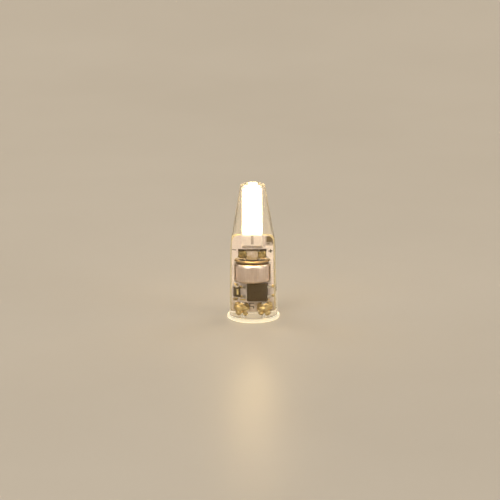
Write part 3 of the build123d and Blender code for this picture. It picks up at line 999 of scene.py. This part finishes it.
def pour(name, stands_for, pools, first_seed, seed_step):
    """One piece from pools given as (place, half length, half width, height)."""
    bm = bmesh.new()
    for k, (place, long_half, wide_half, height) in enumerate(pools):
        add_pool(bm, place, long_half, wide_half, height, first_seed + k * seed_step)
    new_piece(name, bm, metals["solder"], "solder", [stands_for])


TOE = 0.12  # how far a pool's middle lies inside the lead's end
rect_low, rect_high = box("rectifier_leads")
rect_z = middle("rectifier_body").z
diode_low, diode_high = box("diode_leads")
diode_x = middle("diode_body").x
pour("rectifier_pools", "rectifier_solder",
     [(on_board(True, x, rect_z + z), 0.42, 0.46, 0.34)
      for x in (rect_low.x + TOE, rect_high.x - TOE) for z in (-1.25, 1.25)], 0.0, 3.1)
pour("diode_pools", "diode_solder",
     [(on_board(True, diode_x, z, (0, 1)), 0.4, 0.5, 0.34) for z in (diode_low.z + TOE, diode_high.z - TOE)],
     20.0, 5.3)

# %% [markdown]
# Solder at the strip's feet
#
# Two broad beads join the strip's foot to the board below it. In the photograph they make a bright band under
# the strip. The bead's section is hollow: full at the ceramic, thin at the board. It is swept along the foot
# and its ends are drawn in, with a narrow gap between the two so that the contacts stay apart.

# %% Draw the beads at the strip's feet
BEAD_GAP = 0.15  # half the gap between the beads
BEAD_STEPS, SECTION_STEPS = 20, 10


def bead_section(x, t, side, deep, top, fall):
    """The section of a bead at x. Its share t of the bead's length says how full it is."""
    full = min(1.0, math.sin(math.pi * min(max(t, 0.02), 0.98)) * 2.2) ** 0.5
    row = []
    for k in range(SECTION_STEPS + 1):
        a = k / SECTION_STEPS
        out = deep * (1 - a ** 1.25) * full + 0.012
        wave = 0.04 * noise.noise(Vector((x * 1.7, a * 2, side * 4.0)))
        row.append((x, board_front - out - wave * (1 - a), top - fall * a * (0.8 + 0.2 * full)))
    return row + [(x, board_front, top - fall * (0.8 + 0.2 * full)), (x, board_front, top)]


low, high = box("strip_solder")
strip_low = box("led_substrate")[0]
centre, outer = (low.x + high.x) / 2, (high.x - low.x) / 2
bm = bmesh.new()
for side in (-1, 1):
    rows = []
    for t in (i / BEAD_STEPS for i in range(BEAD_STEPS + 1)):
        x = centre + side * (BEAD_GAP + (outer - BEAD_GAP) * t)
        section = bead_section(x, t, side, board_front - strip_low.y, strip_low.z, strip_low.z - low.z)
        rows.append([bm.verts.new(p) for p in section])
    skin(bm, rows)
    bm.faces.new(rows[0])
    bm.faces.new(list(reversed(rows[-1])))
# the near-white of these beads is painted light
new_piece("strip_beads", bm, metals["lit_solder"], "solder", ["strip_solder"])

# %% [markdown]
# The pins and their solder
#
# Each contact pin is turned wire: a thick root in the silicone and a thin free end with a rounded tip. The
# roots lie on the board near its lower edge, under a heavy run of solder that shows as the gold clutter low
# in the photograph. Blobs this size are irregular, so each is a mound of several joined swellings, made from
# a fine ball whose points are pushed out round the pin and flattened where they meet the board.

# %% Turn the pins
PIN_RADIUS = 0.375

for name in ("contact_pin_left", "contact_pin_right"):
    low, high = box(name)
    root = (high.x - low.x) / 2
    line = rounded([(0, low.z), (PIN_RADIUS, low.z), (PIN_RADIUS, 0.04), (root, 0.04), (root, high.z),
                    (0, high.z)], [0.22, 0.0, 0.05, 0.2])
    bm = bmesh.new()
    add_turned(bm, line, Matrix.Translation(((low.x + high.x) / 2, 0, 0)))
    for v in bm.verts:
        if v.co.z > 1.0:
            v.co.y = min(v.co.y, board_front - 0.004)
    new_piece(name + "_turned", bm, metals["tinned_pin"], "tinned_pin", [name])

# %% Heap the solder on their roots
BLEND = 4.6  # per mm: a smaller number rounds the joints between swellings more
HEAP_BOTTOM = 0.3
LEFT_LUMPS = [((-2.8, 0.12, 2.6), 0.84), ((-1.5, 0.12, 2.65), 0.78), ((-2.1, -0.22, 2.4), 0.82),
              ((-2.15, 0.0, 3.4), 0.74), ((-2.65, 0.0, 1.3), 0.66), ((-1.6, -0.05, 1.2), 0.62)]
RIGHT_LUMPS = [((2.8, 0.12, 2.7), 0.8), ((1.45, 0.12, 2.45), 0.8), ((2.05, -0.24, 2.3), 0.82),
               ((2.2, 0.0, 3.35), 0.76), ((2.6, -0.05, 1.2), 0.64), ((1.55, 0.0, 1.3), 0.66)]


def add_mound(bm, lumps, top, depth_to):
    """Joins round swellings into one smooth heap. Lumps are (centre, radius), and it stops at the board."""
    heart = sum((Vector(c) for c, r in lumps), Vector()) / len(lumps)

    def point_at(d):
        ray = d.normalized()
        total = 1.0
        for c, r in lumps:
            off = Vector(c) - heart
            along = ray.dot(off)
            gap = off.length_squared - along * along
            reach = along + math.sqrt(max(0.0, r * r - gap)) - max(0.0, math.sqrt(gap) - r)
            total += math.exp(BLEND * reach)
        best = math.log(total) / BLEND
        p = heart + ray * best * (1 + 0.06 * noise.noise((heart + ray * best) * 0.9))
        return Vector((p.x, min(p.y, depth_to), min(max(p.z, HEAP_BOTTOM), top)))

    add_ball(bm, point_at)


low, high = box("pin_solder")
bm = bmesh.new()
for lumps in (LEFT_LUMPS, RIGHT_LUMPS):
    add_mound(bm, lumps, high.z, board_front - 0.003)
for x, seed in ((-2.1, 60.0), (2.1, 64.0)):
    add_pool(bm, on_board(True, x, (low.z + high.z) / 2), 1.42, 1.28, 0.75, seed, power=1.1, cells=24)
new_piece("pin_solder_heaps", bm, metals["heap_solder"], "solder", ["pin_solder"], sharp=80)

# %% [markdown]
# The driver on the rear
#
# The photograph doesn't show the rear, but the bulb can't work without its driver, so the board carries what
# such a board has: the chip, a small open choke, two resistors and two ceramic capacitors. The choke is a
# drum of grey ferrite with copper wire round its waist. Its turns are a spiral that Geometry Nodes draws from
# the number of turns, the wire and the height, and then gives a round section.

# %% Wind the choke
WIRE = 0.125


def winding_tree():
    tree, given, ends = new_group(
        "wound_wire", [("Turns", "Float"), ("Radius", "Float"), ("Height", "Float"), ("Wire", "Float"),
                       ("Finish", "Material")], [("Geometry", "Geometry")], "GeometryNodeTree")
    spiral = node(tree, "GeometryNodeCurveSpiral", {
        "Resolution": 48, "Rotations": given["Turns"], "Start Radius": given["Radius"],
        "End Radius": given["Radius"], "Height": given["Height"]})[0]
    section = node(tree, "GeometryNodeCurvePrimitiveCircle", {
        "Resolution": 10, "Radius": maths(tree, "MULTIPLY", given["Wire"], 0.5)})[0]
    turns = {"Curve": spiral, "Profile Curve": section, "Fill Caps": True}
    end_tree(tree, node(tree, "GeometryNodeCurveToMesh", turns)[0], given["Finish"], ends)
    return tree


def coil_place(lift):
    centre = middle("inductor_winding")
    return Matrix.Translation((centre.x, board_back + lift, centre.z)) @ Matrix.Rotation(-math.pi / 2, 4, "X")


low, high = box("inductor_winding")
radius, length = (high.x - low.x) / 2, high.y - low.y - WIRE
copper = finish("enamelled_copper", (0.80, 0.36, 0.16), (0.58, 0.22, 0.08), 0.2, 0.36, 1200, 6000, 0.006,
                1.0, 0.6)
wound = winding_tree()
bm = bmesh.new()
for layer in (radius - WIRE / 2, radius - WIRE * 1.4):
    values = {"Turns": length / WIRE, "Radius": layer, "Height": length, "Wire": WIRE, "Finish": copper}
    take_in(bm, bake_tree(bmesh.new(), wound, values, coil_place(low.y - board_back + WIRE / 2)))
print("choke turns", round(length / WIRE, 1))
new_piece("choke_wire", bm, copper, "enamelled_copper", ["inductor_winding"], sharp=60)

# %% Turn the ferrite drum
FLANGE, WAIST_RADIUS = 0.42, 0.7

low, high = box("inductor_core")
foot, tall = (high.x - low.x) / 2, high.y - low.y
cap = foot - 0.1
line = rounded([(0, 0), (foot, 0), (foot, FLANGE), (WAIST_RADIUS, FLANGE), (WAIST_RADIUS, tall - FLANGE),
                (cap, tall - FLANGE), (cap, tall), (0, tall)], [0.06, 0.08, 0.05, 0.05, 0.08, 0.12])
ferrite = finish("ferrite", (0.10, 0.10, 0.105), (0.065, 0.065, 0.07), 0.35, 0.55, 900, 7000, 0.008)
build_turned("choke_drum", line, coil_place(low.y - board_back), 96, ferrite, "ferrite", ["inductor_core"])

# %% [markdown]
# Resistors and ceramic capacitors
#
# These chips are blocks with a metal cap on each end. A resistor is a thin slip of alumina with black glaze
# on top, and a ceramic capacitor is a thicker tan block. The caps are dipped, so they stand slightly proud
# and have round edges. Four blocks are too few for a tree, so a loop sets them.

# %% Set the chips
CHIP_WIDTH, CHIP_CAP = 1.25, 0.38


def build_chips(kind, body_name, cap_name, material, slot):
    low, high = box(kind + "_ends")
    tall, long = high.y - low.y, high.x - low.x
    body_bm, cap_bm = bmesh.new(), bmesh.new()
    for z in (low.z + CHIP_WIDTH / 2, high.z - CHIP_WIDTH / 2):
        centre = on_board(False, (low.x + high.x) / 2, z)
        add_block(body_bm, (long - 2 * CHIP_CAP + 0.04, tall - 0.08, CHIP_WIDTH - 0.08),
                  centre @ Matrix.Translation((0, tall / 2, 0)), edge=0.04)
        for side in (-1, 1):
            spot = centre @ Matrix.Translation((side * (long - CHIP_CAP) / 2, tall / 2 + 0.002, 0))
            add_block(cap_bm, (CHIP_CAP, tall - 0.004, CHIP_WIDTH), spot, edge=0.07, steps=3)
    new_piece(body_name, body_bm, material, slot, [kind + "_bodies"])
    new_piece(cap_name, cap_bm, metals["tinned_cap"], "tinned_cap", [kind + "_ends"])


glaze = finish("resistor_glaze", (0.04, 0.04, 0.045), (0.07, 0.07, 0.075), 0.18, 0.34, 800, 5000, 0.008,
               coat=0.4)
tan = finish("tan_ceramic", (0.50, 0.34, 0.19), (0.42, 0.27, 0.14), 0.4, 0.58, 700, 8000, 0.01)
build_chips("resistor", "resistor_slips", "resistor_caps", glaze, "resistor_glaze")
build_chips("ceramic", "ceramic_blocks", "ceramic_caps", tan, "tan_ceramic")

# %% Pour the pools on the rear
chip_low, chip_high = box("driver_chip_leads")
chip_z = middle("driver_chip_body").z
plate_low, plate_high = box("inductor_terminals")
plate_z = middle("inductor_terminals").z
rear = [(chip_low.x + 0.1, chip_z + z, 0.36, 0.28, 0.26) for z in (-0.95, 0, 0.95)]
rear += [(chip_high.x - 0.1, chip_z + z, 0.36, 0.28, 0.26) for z in (-0.95, 0.95)]
rear += [(x, plate_z, 0.2, 1.02, 0.15) for x in (plate_low.x, plate_high.x)]
for name, height in (("resistor_ends", 0.42), ("ceramic_ends", 0.6)):
    low, high = box(name)
    rear += [(x, z, 0.21, 0.5, height)
             for z in (low.z + CHIP_WIDTH / 2, high.z - CHIP_WIDTH / 2) for x in (low.x, high.x)]
pour("rear_pools", "rear_solder", [(on_board(False, x, z), *sizes) for x, z, *sizes in rear], 40.0, 2.3)

# %% [markdown]
# Plated pads
#
# Under each soldered foot on the front lies a plated copper pad, a little larger than the foot. Above the
# heaps of the pins, three small pads have stayed free of solder and show the thin gold of their plating. All
# are thin plates on the board's face, cut off where they would reach past its edge.

# %% Lay the pads
PAD = 0.024


def pads(plates, margin):
    """Blocks for plates given as (x, z, width, height), cut off near the board's edges."""
    for x, z, wide, tall in plates:
        left, right = max(x - wide / 2, board_low.x + margin), min(x + wide / 2, board_high.x - margin)
        yield (right - left, PAD, tall), ((left + right) / 2, board_front - PAD / 2, z)


low, high = box("strip_solder")
plates = [(rect_low.x - 0.02, rect_z + z, 1.1, 1.0) for z in (-1.25, 1.25)]
plates += [(rect_high.x + 0.02, rect_z + z, 0.9, 1.0) for z in (-1.25, 1.25)]
plates += [(diode_x, z, 1.1, 0.9) for z in (diode_low.z, diode_high.z)]
plates += [((low.x + high.x) / 2 + side * 1.05, low.z + 0.35, 1.9, 1.0) for side in (-1, 1)]
build_blocks("board_pads", pads(plates, 0.1), 0.008, 1, metals["tinned_pad"], "tinned_pad")
plates = [(-3.3, 4.75, 1.1, 0.6), (-1.9, 4.8, 1.0, 0.4), (2.5, 4.75, 0.9, 0.4)]
build_blocks("board_gold_pads", pads(plates, 0.15), 0.008, 1, metals["gold_pad"], "tinned_pad")

# %% [markdown]
# The silicone
#
# The capsule is cast in one pour, so it is one clear solid with the parts inside it. For light that means one
# surface where air meets silicone, and none inside: the parts are simply in it. So the piece is only the
# outer skin, as a closed shape, and the shader's index of refraction makes what is inside look wider, as in
# the photograph. Its line runs from the base over the thin lip and the slim waist to a soft shoulder and a
# nose with a small flat tip. Real castings are never optically perfect, so a faint long ripple moves the
# surface. Rays from lamps pass straight through, which lights the parts inside without slow caustics. The lip
# is the mould's parting line, so it is matt, and it carries a painted warm glow, for the strip's light that
# the silicone guides down its wall; the rest of the outer skin has a faint painted warm glow. The lip
# attribute marks that rim for both, and the frost attribute adds a faint mattness up the nose.

# %% Finish the silicone
FROST = 0.65  # roughness added where the frost is full


def silicone_finish():
    material = finish("clear_silicone", (0.995, 0.975, 0.92), (0.985, 0.96, 0.89), 0.02, 0.07, 120, 900,
                      0.004)
    tree, shader = open_up(material)
    for name, value in {"Transmission Weight": 1.0, "IOR": 1.41, "Sheen Weight": 1.0, "Sheen Roughness": 0.3,
                        "Sheen Tint": (1.0, 0.95, 0.80, 1), "Emission Strength": 0.5}.items():
        shader[name].default_value = value
    add_bump(material, cloud(tree, places(tree), 160.0, 1.0), 0.008)
    lip, frost = [node(tree, "ShaderNodeAttribute", attribute_name=name)["Fac"] for name in ("lip", "frost")]
    outside = maths(tree, "SUBTRACT", 1.0, node(tree, "ShaderNodeNewGeometry")["Backfacing"])
    # painted glow: warm emission on the lip's outer face, and a faint one over the rest of the outer skin
    painted_lip_glow = mix(tree, lip, (0.08, 0.04, 0.006), (1.0, 0.89, 0.64))
    tree.links.new(mix(tree, outside, (0, 0, 0), painted_lip_glow), shader["Emission Color"])
    gloss = shader["Roughness"].links[0].from_socket
    tree.links.new(maths(tree, "MULTIPLY_ADD", frost, FROST, gloss), shader["Roughness"])
    let_through(material, node(tree, "ShaderNodeLightPath")["Is Shadow Ray"], (0.96, 0.89, 0.74))
    return material


# %% Turn the capsule
LIP_HEIGHT = 0.8
WAIST = (6.2, 5.86)  # radius above the lip and at the shoulder
SHOULDER_HEIGHT = 19.4
TIP_RADIUS = 3.17
FINENESS = 0.7  # the longest step along the line


def on_lip(p):
    return min(1.0, max(0.0, (math.hypot(p.x, p.y) - 5.9) / 0.4)) if p.z < 0.9 else 0.0


def frosted(p):
    return max(on_lip(p), 0.14 * min(1.0, max(0.0, (p.z - 19.0) / 4.0)))


low, high = box("silicone_body")
lip, height = (high.x - low.x) / 2, high.z
line = rounded([(0, 0), (lip, 0), (lip, LIP_HEIGHT), (WAIST[0], LIP_HEIGHT), (WAIST[1], SHOULDER_HEIGHT),
                (TIP_RADIUS, height - 0.05), (0, height)], [0.2, 0.3, 0.2, 24.0, 0.45], steps=10)
fine = []
for a, b in zip(line, line[1:]):
    parts = max(1, int((b - a).length / FINENESS))
    fine += [a + (b - a) * i / parts for i in range(parts)]
capsule = build_turned("silicone_capsule", fine + [line[-1]], Matrix.Identity(4), 256, silicone_finish(),
                       "clear_silicone", ["silicone_body"], sharp=50)
add_marks(capsule, "lip", on_lip)
add_marks(capsule, "frost", frosted)
